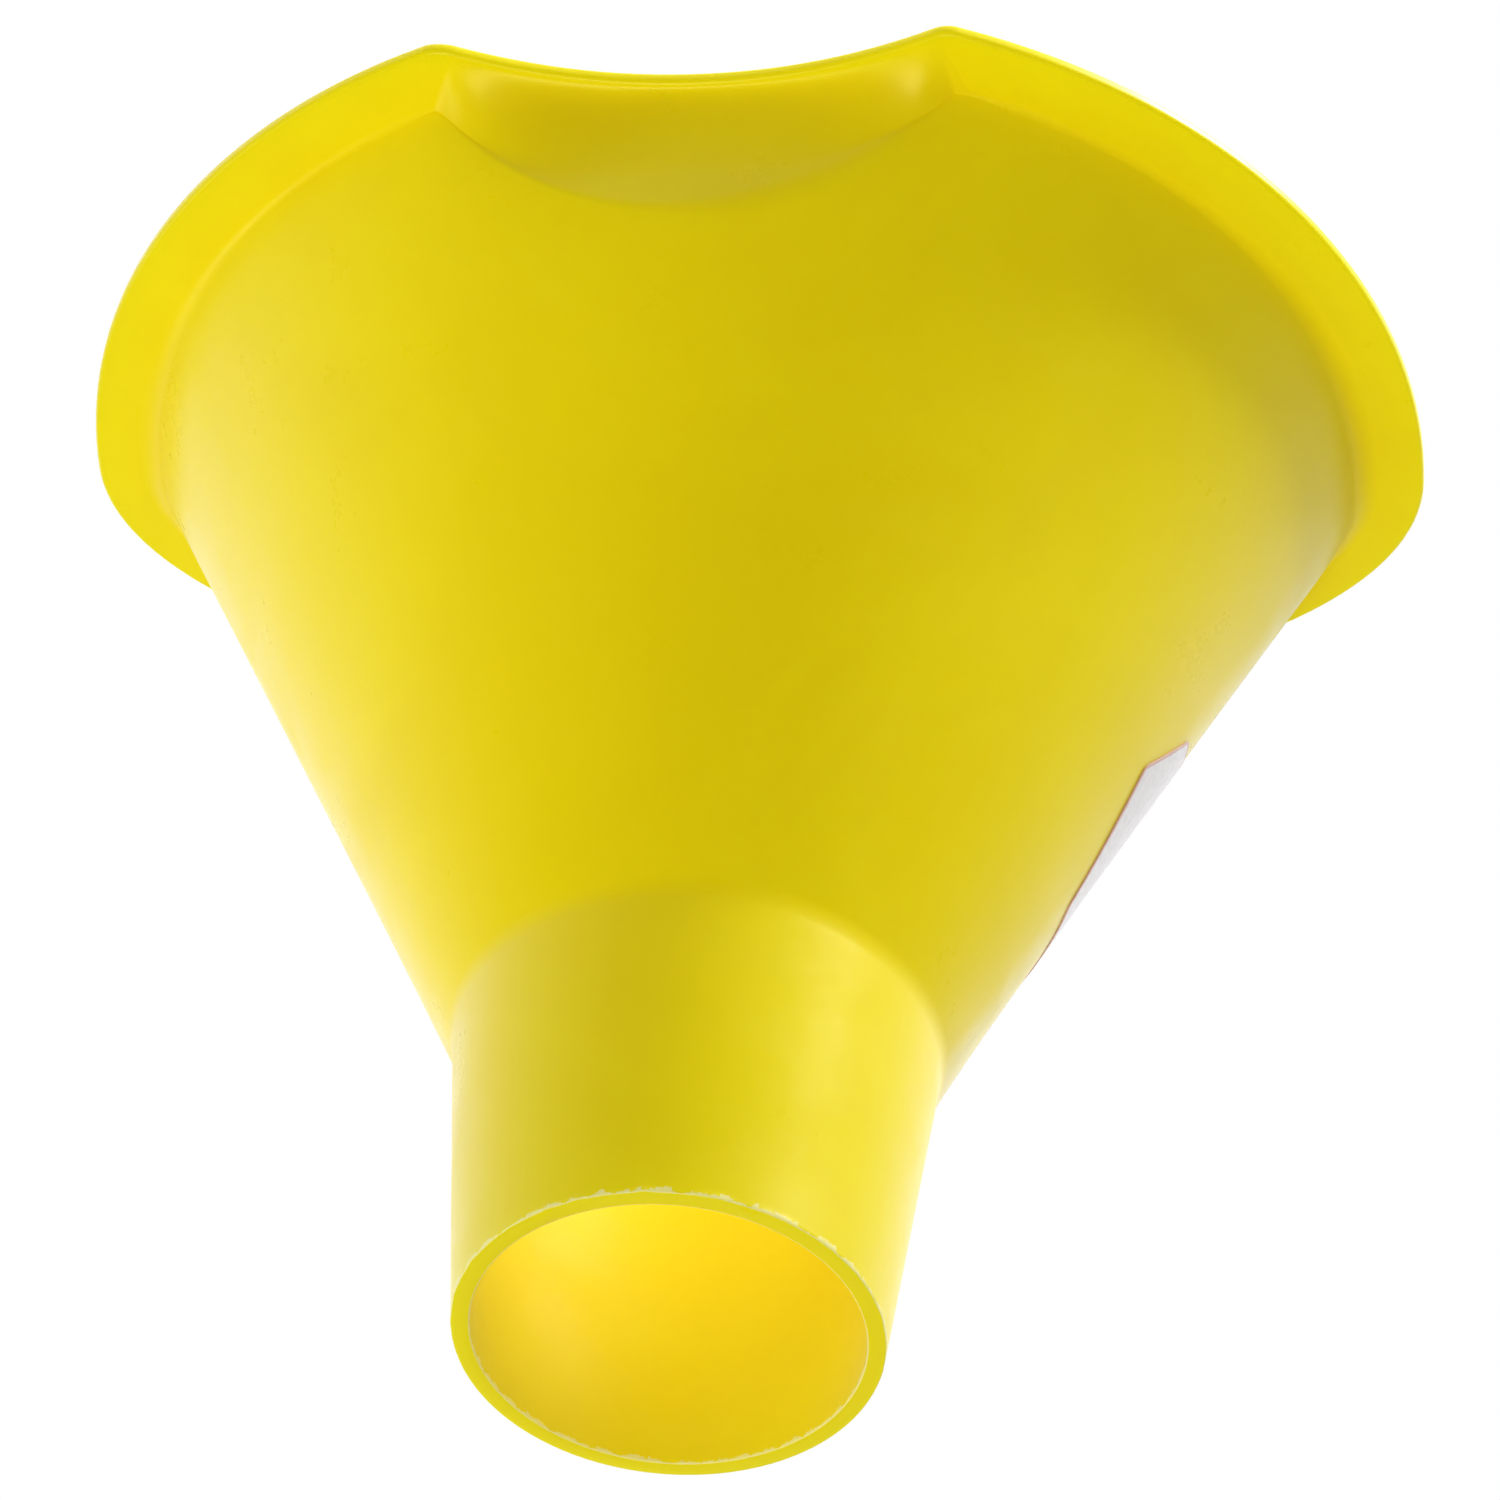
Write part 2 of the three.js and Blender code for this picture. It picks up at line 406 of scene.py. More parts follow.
@dataclass(frozen=True)
class PolyethyleneFinish:
    """Glossy, slightly see-through yellow polyethylene, whitened where it was trimmed."""

    deep: tuple[float, float, float] = (0.84, 0.69, 0.0008)
    bright: tuple[float, float, float] = (0.88, 0.73, 0.0012)
    stressed: tuple[float, float, float] = (0.93, 0.88, 0.55)
    dirt: tuple[float, float, float] = (0.16, 0.10, 0.02)
    gloss_low: float = 0.27
    gloss_high: float = 0.40
    inner_matt: float = 0.3
    ior: float = 1.5
    shine: float = 0.3
    shine_tint: tuple[float, float, float, float] = (1.0, 0.93, 0.35, 1.0)
    sheen: float = 0.12
    sheen_roughness: float = 0.35
    glow: float = 0.45
    glow_colour: tuple[float, float, float] = (1.0, 0.9, 0.05)
    depth: float = 0.006
    wave_strength: float = 0.3
    wave_height: float = 0.0012
    burr_floor: float = 0.00004
    burr_low: float = 0.0001
    burr_high: float = 0.0011
    burr_white: float = 0.55
    speck_dark: float = 0.7

    def build(self, skin: bpy.types.NodeTree) -> bpy.types.Material:
        """Makes the material.

        Args:
            skin: The shared moulded-skin group.

        Returns:
            The finished material.
        """
        material = bpy.data.materials.new("yellow_polyethylene")
        material.use_nodes = True
        sheet = NodeSheet(material.node_tree)
        shader = material.node_tree.nodes["Principled BSDF"]
        shader.inputs["IOR"].default_value = self.ior
        shader.inputs["Specular IOR Level"].default_value = self.shine
        shader.inputs["Specular Tint"].default_value = self.shine_tint
        shader.inputs["Sheen Weight"].default_value = self.sheen
        shader.inputs["Sheen Roughness"].default_value = self.sheen_roughness
        shader.inputs["Subsurface Weight"].default_value = self.glow
        shader.inputs["Subsurface Radius"].default_value = self.glow_colour
        shader.inputs["Subsurface Scale"].default_value = self.depth
        place = sheet.add("ShaderNodeTexCoord").outputs["Object"]
        surface = sheet.add("ShaderNodeGroup", node_tree=skin)
        sheet.join(place, surface.inputs["Place"])
        colour = self.colour(sheet, place, surface)
        sheet.join(colour, shader.inputs["Base Color"])
        rough = sheet.spread(surface.outputs["Haze"], 0.3, 0.75, self.gloss_low, self.gloss_high)
        inner = sheet.add("ShaderNodeAttribute", attribute_name=INNER_FACE).outputs["Fac"]
        rough = sheet.math("ADD", rough, sheet.math("MULTIPLY", inner, self.inner_matt), clamp=True)
        sheet.join(rough, shader.inputs["Roughness"])
        bump = sheet.add("ShaderNodeBump", Strength=self.wave_strength, Distance=self.wave_height)
        sheet.join(surface.outputs["Height"], bump.inputs["Height"])
        sheet.join(bump.outputs["Normal"], shader.inputs["Normal"])
        return material

    def colour(
        self, sheet: NodeSheet, place: bpy.types.NodeSocket, surface: bpy.types.Node
    ) -> bpy.types.NodeSocket:
        """Mixes the base colour: cloudy yellow, whitened trimmed edge, specks.

        Args:
            sheet: The material's nodes.
            place: Object coordinates.
            surface: The moulded-skin group node.

        Returns:
            The colour's socket.
        """
        cloudy = sheet.spread(surface.outputs["Cloud"], 0.35, 0.65, 0.0, 1.0)
        colour = sheet.blend(cloudy, self.deep, self.bright)
        apart = sheet.add("ShaderNodeSeparateXYZ")
        sheet.join(place, apart.inputs["Vector"])
        ragged = sheet.add("ShaderNodeTexNoise", Scale=420.0, Detail=4.0, Roughness=0.7)
        sheet.join(place, ragged.inputs["Vector"])
        reach = sheet.spread(ragged.outputs["Fac"], 0.35, 0.7, self.burr_low, self.burr_high)
        near = sheet.math("LESS_THAN", apart.outputs["Z"], reach)
        above = sheet.math("GREATER_THAN", apart.outputs["Z"], self.burr_floor)
        trimmed = sheet.math("MULTIPLY", sheet.math("MULTIPLY", near, above), self.burr_white)
        colour = sheet.blend(trimmed, colour, self.stressed)
        speck = sheet.math("MULTIPLY", surface.outputs["Speck"], self.speck_dark)
        return sheet.blend(speck, colour, self.dirt)


@dataclass(frozen=True)
class LabelFinish:
    """Pale printed film with a thin red-brown line along its edge."""

    length: float = LABEL_LENGTH
    height: float = LABEL_HEIGHT
    cut: float = LABEL_CUT
    line: float = 0.5 * MM
    line_blur: float = 0.08
    varnish: float = 0.6
    varnish_roughness: float = 0.25
    paper: tuple[float, float, float] = (0.84, 0.80, 0.80)
    shade: tuple[float, float, float] = (0.76, 0.72, 0.73)
    ink: tuple[float, float, float] = (0.66, 0.36, 0.27)

    def build(self) -> bpy.types.Material:
        """Makes the material.

        Returns:
            The finished material, which reads the piece's own UV map in metres.
        """
        material = bpy.data.materials.new("printed_label_film")
        material.use_nodes = True
        sheet = NodeSheet(material.node_tree)
        shader = material.node_tree.nodes["Principled BSDF"]
        shader.inputs["Coat Weight"].default_value = self.varnish
        shader.inputs["Coat Roughness"].default_value = self.varnish_roughness
        place = sheet.add("ShaderNodeUVMap", uv_map="film").outputs["UV"]
        fibres = sheet.add("ShaderNodeTexNoise", Scale=900.0, Detail=4.0, Roughness=0.6)
        sheet.join(place, fibres.inputs["Vector"])
        edge = self.edge_distance(sheet, place)
        blur = self.line * self.line_blur
        line = sheet.spread(edge, self.line - blur, self.line + blur, 1.0, 0.0)
        cloudy = sheet.spread(fibres.outputs["Fac"], 0.3, 0.7, 0.0, 1.0)
        paper = sheet.blend(cloudy, self.paper, self.shade)
        sheet.join(sheet.blend(line, paper, self.ink), shader.inputs["Base Color"])
        rough = sheet.spread(fibres.outputs["Fac"], 0.3, 0.7, 0.38, 0.52)
        sheet.join(rough, shader.inputs["Roughness"])
        bump = sheet.add("ShaderNodeBump", Strength=0.15, Distance=0.0001)
        sheet.join(fibres.outputs["Fac"], bump.inputs["Height"])
        sheet.join(bump.outputs["Normal"], shader.inputs["Normal"])
        return material

    def edge_distance(self, sheet: NodeSheet, place: bpy.types.NodeSocket) -> bpy.types.NodeSocket:
        """Distance inward from the label's edge with its cut corners, in metres.

        Args:
            sheet: The material's nodes.
            place: UV coordinates in metres, with 0, 0 at the label's middle.

        Returns:
            The distance's socket.
        """
        apart = sheet.add("ShaderNodeSeparateXYZ")
        sheet.join(place, apart.inputs["Vector"])
        sizes = [sheet.math("ABSOLUTE", apart.outputs[axis]) for axis in ("X", "Y")]
        halves = (self.length / 2, self.height / 2)
        gaps = [sheet.math("SUBTRACT", half, size) for half, size in zip(halves, sizes)]
        slant = sheet.math("SUBTRACT", sum(halves) - self.cut, sheet.math("ADD", *sizes))
        gaps.append(sheet.math("MULTIPLY", slant, math.sqrt(0.5)))
        return sheet.math("MINIMUM", sheet.math("MINIMUM", gaps[0], gaps[1]), gaps[2])


@dataclass(frozen=True)
class FloorFinish:
    """Pale matt sweep that is only there from above."""

    colour: tuple[float, float, float] = (0.86, 0.86, 0.85)
    worn: tuple[float, float, float] = (0.83, 0.83, 0.82)
    roughness: float = 0.8
    shine: float = 0.2

    def build(self) -> bpy.types.Material:
        """Makes the material.

        Returns:
            A pale material that rays coming up from under the floor pass through.
        """
        material = bpy.data.materials.new("pale_floor")
        material.use_nodes = True
        sheet = NodeSheet(material.node_tree)
        nodes = material.node_tree.nodes
        shader = nodes["Principled BSDF"]
        shader.inputs["Roughness"].default_value = self.roughness
        shader.inputs["Specular IOR Level"].default_value = self.shine
        place = sheet.add("ShaderNodeTexCoord").outputs["Object"]
        mottle = sheet.add("ShaderNodeTexNoise", Scale=6.0, Detail=3.0)
        sheet.join(place, mottle.inputs["Vector"])
        colour = sheet.blend(mottle.outputs["Fac"], self.colour, self.worn)
        sheet.join(colour, shader.inputs["Base Color"])
        clear = sheet.add("ShaderNodeBsdfTransparent")
        facing = sheet.add("ShaderNodeNewGeometry").outputs["Backfacing"]
        passed = sheet.add("ShaderNodeLightPath").outputs["Transparent Depth"]
        open_floor = sheet.math("MAXIMUM", facing, sheet.math("GREATER_THAN", passed, 0.5))
        choose = sheet.add("ShaderNodeMixShader")
        sheet.join(open_floor, choose.inputs[0])
        sheet.join(shader.outputs[0], choose.inputs[1])
        sheet.join(clear.outputs[0], choose.inputs[2])
        sheet.join(choose.outputs[0], nodes["Material Output"].inputs["Surface"])
        return material


# --------------------------------------------------------------------------------------
# Funnel
# --------------------------------------------------------------------------------------


@dataclass
class Station:
    """One place round the mouth, where a section through the wall is taken."""

    wall: Vector
    lip: Vector
    zone: Zone
    share: float
    draft: float = 0.0
    normal: Vector = field(default_factory=lambda: Vector((0.0, -1.0)))


@dataclass
class FunnelBody:
    """The one moulding: spout, cone, flattened back, notch wall and lip."""

    axis_y: float
    spout_end_r: float = 27.0 * MM
    junction_r: float = 31.4 * MM
    junction_z: float = 47.0 * MM
    mouth_z: float = 154.3 * MM
    wall: float = 2.4 * MM
    cone_wall: float = 2.67 * MM
    half_width: float = 83.3 * MM
    front: float = 75.6 * MM
    back: float = 35.9 * MM
    cone_back: float = 46.0 * MM
    back_draft: float = math.tan(math.radians(1.5))
    lip_width: float = 8.6 * MM
    lip_rise: float = 0.6 * MM
    lip_thickness: float = 2.0 * MM
    notch_turn: float = math.radians(3.3)
    notch_half_angle: float = math.radians(26.65)
    notch_lip_half_angle: float = math.radians(23.1)
    notch_wall_depth: float = 67.5 * MM
    notch_lip_depth: float = 71.4 * MM
    notch_wall_power: float = 5.0
    notch_lip_power: float = 2.05
    wall_corner: float = 1.3 * MM
    lip_corner: float = 2.0 * MM
    foot_drop: float = 0.45 * MM
    plain_foot_drop: float = 3.0 * MM
    inner_foot_rise: float = 0.2 * MM
    inner_junction_rise: float = 0.6 * MM
    burr: float = 1.1 * MM
    burr_size: float = 0.28 * MM
    burr_pitch: float = 9.0
    burr_fine_pitch: float = 3.7
    smooth_angle: float = math.radians(50)
    face_weight: int = 80
    merge_distance: float = 0.002 * MM
    notch_steps: int = 72
    corner_steps: int = 8
    side_steps: int = 60
    back_steps: int = 96
    inner_rows: int = 13

    def cone_radius(self, angle: float, z: float) -> float:
        """Outer radius of the cone.

        Args:
            angle: Radians from -Y.
            z: Height in metres.

        Returns:
            The radius in metres.
        """
        half_depth = self.front if math.cos(angle) > 0.0 else self.cone_back
        top = ellipse_radius(angle, self.half_width, half_depth)
        return mix(self.junction_r, top, (z - self.junction_z) / (self.mouth_z - self.junction_z))

    def notch_arc(
        self, corner_angle: float, corner_radius: float, depth: float, share: float, power: float
    ) -> Vector:
        """Point on the bowed line across the notch.

        Args:
            corner_angle: Half the notch's angle about the axis.
            corner_radius: Radius of the outline at the notch's corners.
            depth: Distance of the line's middle from the axis.
            share: From -1 at one corner to 1 at the other.
            power: 2 for an even bow; more keeps the middle straighter and the ends more bent.

        Returns:
            The point in plan.
        """
        half_chord = corner_radius * math.sin(corner_angle)
        sagitta = corner_radius * math.cos(corner_angle) - depth
        bow = sagitta * abs(share) ** power
        point = Vector((half_chord * share, -(depth + bow)))
        point.rotate(Matrix.Rotation(-self.notch_turn, 2))
        return point

    def notch_pair(self, share: float, trim: float = 0.0) -> tuple[Vector, Vector]:
        """Wall and lip points across the notch.

        Args:
            share: From -1 to 1.
            trim: 1 where the corner's rounding is to be left out, 0 for the full arc.

        Returns:
            The wall point and the lip point.
        """
        wall_a, lip_a = self.notch_half_angle, self.notch_lip_half_angle
        lip_half_width, lip_front = self.half_width + self.lip_width, self.front + self.lip_width
        wall_r = ellipse_radius(wall_a, self.half_width, self.front)
        lip_r = ellipse_radius(lip_a, lip_half_width, lip_front)
        wall_share = share * (1 - trim * self.wall_corner / (wall_r * math.sin(wall_a)))
        lip_share = share * (1 - trim * self.lip_corner / (lip_r * math.sin(lip_a)))
        wall_shape = (self.notch_wall_depth, wall_share, self.notch_wall_power)
        lip_shape = (self.notch_lip_depth, lip_share, self.notch_lip_power)
        return (
            self.notch_arc(wall_a, wall_r, *wall_shape),
            self.notch_arc(lip_a, lip_r, *lip_shape),
        )

    def side_pair(self, side: int, share: float, trim: float = 0.0) -> tuple[Vector, Vector]:
        """Wall and lip points round one side.

        Args:
            side: 1 for +X, -1 for -X.
            share: From 0 at the notch's corner to 1 at the widest place.
            trim: 1 where the corner's rounding is to be left out.

        Returns:
            The wall point and the lip point.
        """
        pair = []
        grown = (0.0, self.lip_width)
        starts = (self.notch_half_angle, self.notch_lip_half_angle)
        for extra, start, bite in zip(grown, starts, (self.wall_corner, self.lip_corner)):
            first = start - side * self.notch_turn + trim * bite / (self.front + extra)
            angle = mix(first, math.pi / 2, share)
            radius = ellipse_radius(angle, self.half_width + extra, self.front + extra)
            pair.append(plan_point(side * angle, radius))
        return pair[0], pair[1]

    def corner_stations(self, side: int) -> list[Station]:
        """Stations round one corner of the notch, from the notch to the side.

        Args:
            side: 1 for +X, -1 for -X.

        Returns:
            The stations between the notch's last and the side's first.
        """
        before = self.notch_pair(side, 1.0)
        corner = self.notch_pair(side)
        after = self.side_pair(side, 0.0, 1.0)
        stations = []
        for k in range(1, self.corner_steps):
            share = k / self.corner_steps
            wall, lip = (round_over(before[n], corner[n], after[n], share) for n in (0, 1))
            stations.append(Station(wall, lip, Zone.CORNER, side * (1.0 + share)))
        return stations

    def stations(self) -> list[Station]:
        """All stations, anticlockwise seen from above, starting in the notch.

        Returns:
            The stations, with their outward normals.
        """
        notch = []
        for i in range(self.notch_steps + 1):
            share = 2 * i / self.notch_steps - 1
            notch.append(Station(*self.notch_pair(share, 1.0), Zone.NOTCH, share))
        sides = {}
        for side in (1, -1):
            run = [i / self.side_steps for i in range(self.side_steps)]
            run = [s * (0.35 + 0.65 * s) for s in run]
            sides[side] = [Station(*self.side_pair(side, s, 1.0), Zone.SIDE, s) for s in run]
        back = []
        for i in range(self.back_steps + 1):
            a = math.pi * i / self.back_steps
            lip_half_width, lip_back = self.half_width + self.lip_width, self.back + self.lip_width
            wall = Vector((self.half_width * math.cos(a), self.back * math.sin(a)))
            lip = Vector((lip_half_width * math.cos(a), lip_back * math.sin(a)))
            draft = self.back_draft * min(1.0, 2.5 * math.sin(a))
            back.append(Station(wall, lip, Zone.BACK, math.sin(a), draft))
        right = self.corner_stations(1) + sides[1]
        left = self.corner_stations(-1) + sides[-1]
        loop = notch + right + back + left[::-1]
        for i, station in enumerate(loop):
            along = (loop[(i + 1) % len(loop)].wall - loop[i - 1].wall).normalized()
            station.normal = Vector((along.y, -along.x))
        return loop

    def wall_point(self, station: Station, z: float, inset: float) -> Vector:
        """Point of the upright wall.

        Args:
            station: Where round the mouth.
            z: Height.
            inset: How far inward through the wall.

        Returns:
            The point in plan.
        """
        shift = inset + max(0.0, self.mouth_z - z) * station.draft
        return station.wall - station.normal * shift

    def wall_foot(self, station: Station, inset: float, cone_inset: float, top: float) -> Vector:
        """Place where the upright wall meets the cone, kept a little below the top.

        Args:
            station: Where round the mouth.
            inset: How far inward through the wall.
            cone_inset: How far inward through the cone.
            top: Highest place that the foot may have.

        Returns:
            The point in space.
        """

        def gap(z: float) -> float:
            """Distance of the wall outside the cone at a height."""
            p = self.wall_point(station, z, inset)
            return p.length - (self.cone_radius(angle_of(p), z) - cone_inset)

        low, high = self.junction_z, top
        if gap(top) >= 0:
            low = top
        else:
            for _ in range(40):
                middle = (low + high) / 2
                if gap(middle) > 0:
                    low = middle
                else:
                    high = middle
        p = self.wall_point(station, low, inset)
        angle = angle_of(p)
        radius = min(p.length, self.cone_radius(angle, low) - cone_inset)
        return plan_point(angle, radius).to_3d() + Vector((0, 0, low))

    def roundings(self, station: Station) -> list[Rounding]:
        """How each corner of the section is rounded.

        The sizes are in millimetres: back along the section, onward along it, steps, fullness.

        Args:
            station: Where round the mouth.

        Returns:
            One rounding for each corner of the section.
        """
        foot, cove_down, cove_out, inner, fullness = 0.5, 0.9, 0.9, 0.8, 1.0
        if station.zone in (Zone.NOTCH, Zone.CORNER):
            share = min(1.0, abs(station.share))
            reach = (station.lip - station.wall).length / MM
            ends = smooth(5.0 * (1.0 - share))
            foot = mix(0.5, mix(0.7, 3.5, smooth((station.share + 0.4) / 1.2)), ends)
            cove_down, cove_out = 14.0, 0.9 * reach
            fullness = mix(0.15, 0.6, smooth(1.5 * (1.0 - share)))
            if station.zone is Zone.CORNER:
                turn = smooth(abs(station.share) - 1.0)
                cove_down, cove_out = mix(cove_down, 0.9, turn), mix(cove_out, 0.9, turn)
                fullness = mix(fullness, 1.0, turn)
        elif station.zone is Zone.SIDE:
            cove_down = cove_out = mix(0.9, 2.6, smooth(1.3 * station.share - 0.3))
        elif station.zone is Zone.BACK:
            cove_down = cove_out = 2.6
            foot = mix(0.5, 5.0, smooth(station.share))
            inner = mix(0.8, 3.0, smooth(station.share))
        sizes: list[tuple[float, ...]] = [
            (0.2, 0.2, 2),
            (0.5, 0.5, 3),
            (1.6, 1.6, 4),
            (foot, foot, 6),
            (cove_down, cove_out, 12, fullness),
            (0.6, 0.75, 5),
            (0.65, 0.65, 5),
            (0.9, 0.9, 4),
            (inner, inner, 4),
            (2.0, 2.0, 4),
            (0.3, 0.3, 2),
        ]
        return [Rounding(before * MM, after * MM, *rest) for before, after, *rest in sizes]

    def trimmed_radius(self, angle: float) -> float:
        """Outer radius of the knife-trimmed spout end, with its slight burr.

        Args:
            angle: Radians from -Y.

        Returns:
            The radius in metres.
        """
        pitch = self.burr_pitch
        place = Vector((math.sin(angle) * pitch, math.cos(angle) * pitch, 2.0))
        fine = noise.noise(place * self.burr_fine_pitch)
        rag = max(0.0, noise.noise(place)) + 0.4 * max(0.0, fine)
        facing = smooth(0.5 + 0.9 * math.cos(angle))
        return self.spout_end_r + self.burr_size * rag * facing

    def section(self, station: Station) -> list[Vector]:
        """One section of the moulding, from the spout's outer edge over the lip to its inner edge.

        Args:
            station: Where round the mouth.

        Returns:
            The section's points about the spout's axis.
        """
        away = float(station.zone is Zone.BACK)
        if station.zone is Zone.SIDE:
            away = smooth(6.0 * station.share)
        foot_top = self.mouth_z - mix(self.foot_drop, self.plain_foot_drop, away)
        foot = self.wall_foot(station, 0.0, 0.0, foot_top)
        inner_top = self.mouth_z + self.inner_foot_rise
        inner_foot = self.wall_foot(station, self.wall, self.cone_wall, inner_top)
        angle = angle_of(foot.to_2d())
        inner_angle = angle_of(inner_foot.to_2d())
        lip_top = self.mouth_z + self.lip_rise + self.lip_thickness
        burr_r = mix(self.spout_end_r, self.junction_r, self.burr / self.junction_z)
        inner_junction_r = self.junction_r - self.wall
        inner_junction_z = self.junction_z + self.inner_junction_rise

        def lift(point: Vector, z: float) -> Vector:
            """A plan point at a height."""
            return Vector((point.x, point.y, z))

        corners = [
            lift(plan_point(angle, self.trimmed_radius(angle)), 0.0),
            lift(plan_point(angle, burr_r), self.burr),
            lift(plan_point(angle, self.junction_r), self.junction_z),
            foot,
            lift(station.wall, self.mouth_z),
            lift(station.lip, self.mouth_z + self.lip_rise),
            lift(station.lip, lip_top),
            lift(self.wall_point(station, self.mouth_z, self.wall), lip_top),
            inner_foot,
            lift(plan_point(inner_angle, inner_junction_r), inner_junction_z),
            lift(plan_point(inner_angle, self.spout_end_r - self.wall), 0.0),
        ]
        return filleted(corners, self.roundings(station))

    def build(self, finish: bpy.types.Material) -> bpy.types.Object:
        """Raises the moulding ring by ring from a circle, and closes it under the spout.

        Args:
            finish: The moulding's material.

        Returns:
            The finished object.
        """
        sections = [self.section(station) for station in self.stations()]
        count, rows = len(sections), len(sections[0])
        inside_from = rows - self.inner_rows
        deselect_everything()
        bpy.ops.mesh.primitive_circle_add(
            vertices=count, radius=self.spout_end_r, fill_type="NOTHING"
        )
        body = bpy.context.object
        body.name = "moulded_body"
        body.data.name = "moulded_body"
        bpy.ops.object.mode_set(mode="EDIT")
        self.number_ring(body)
        self.place_ring(body, [section[0] for section in sections], 0.0)
        for row in range(1, rows):
            bpy.ops.mesh.extrude_region_move(TRANSFORM_OT_translate={"value": (0.0, 0.0, 1.0 * MM)})
            self.place_ring(body, [section[row] for section in sections], float(row >= inside_from))
        self.close_under_spout(body)
        bpy.ops.mesh.select_all(action="SELECT")
        bpy.ops.mesh.remove_doubles(threshold=self.merge_distance)
        bpy.ops.mesh.normals_make_consistent(inside=False)
        bpy.ops.object.mode_set(mode="OBJECT")
        body.data.transform(Matrix.Translation((0.0, self.axis_y, 0.0)))
        self.smooth_skin(body)
        body.data.materials.clear()
        body.data.materials.append(finish)
        return body

    def number_ring(self, body: bpy.types.Object) -> None:
        """Numbers the first ring's vertices, so that each extruded copy keeps its number.

        Args:
            body: The object in Edit mode.
        """
        mesh = bmesh.from_edit_mesh(body.data)
        layer = mesh.verts.layers.int.new("station")
        mesh.verts.layers.float.new(INNER_FACE)
        order = sorted(mesh.verts, key=lambda v: math.atan2(v.co.x, -v.co.y) % math.tau)
        for number, vert in enumerate(order):
            vert[layer] = number
        bmesh.update_edit_mesh(body.data)

    def place_ring(self, body: bpy.types.Object, points: Sequence[Vector], inner: float) -> None:
        """Puts the selected ring's vertices on their outline.

        Args:
            body: The object in Edit mode.
            points: The outline, in station order.
            inner: 1 on the funnel's inner face, 0 on its outer face.
        """
        mesh = bmesh.from_edit_mesh(body.data)
        layer = mesh.verts.layers.int["station"]
        face = mesh.verts.layers.float[INNER_FACE]
        for vert in mesh.verts:
            if vert.select:
                vert.co = points[vert[layer]]
                vert[face] = inner
        bmesh.update_edit_mesh(body.data)

    def close_under_spout(self, body: bpy.types.Object) -> None:
        """Bridges the two open rings under the spout.

        Args:
            body: The object in Edit mode.
        """
        mesh = bmesh.from_edit_mesh(body.data)
        for element in (*mesh.verts, *mesh.edges, *mesh.faces):
            element.select = False
        for edge in mesh.edges:
            if edge.is_boundary:
                edge.select_set(True)
        bmesh.update_edit_mesh(body.data)
        bpy.ops.mesh.select_mode(type="EDGE")
        bpy.ops.mesh.bridge_edge_loops()

    def smooth_skin(self, body: bpy.types.Object) -> None:
        """Smooths the shading, with the large faces leading at the rounded edges.

        Args:
            body: The object.
        """
        make_active(body)
        bpy.ops.object.shade_smooth_by_angle(angle=self.smooth_angle)
        weighted = body.modifiers.new("weighted_normals", "WEIGHTED_NORMAL")
        weighted.keep_sharp = True
        weighted.weight = self.face_weight
        bpy.ops.object.modifier_apply(modifier=weighted.name)


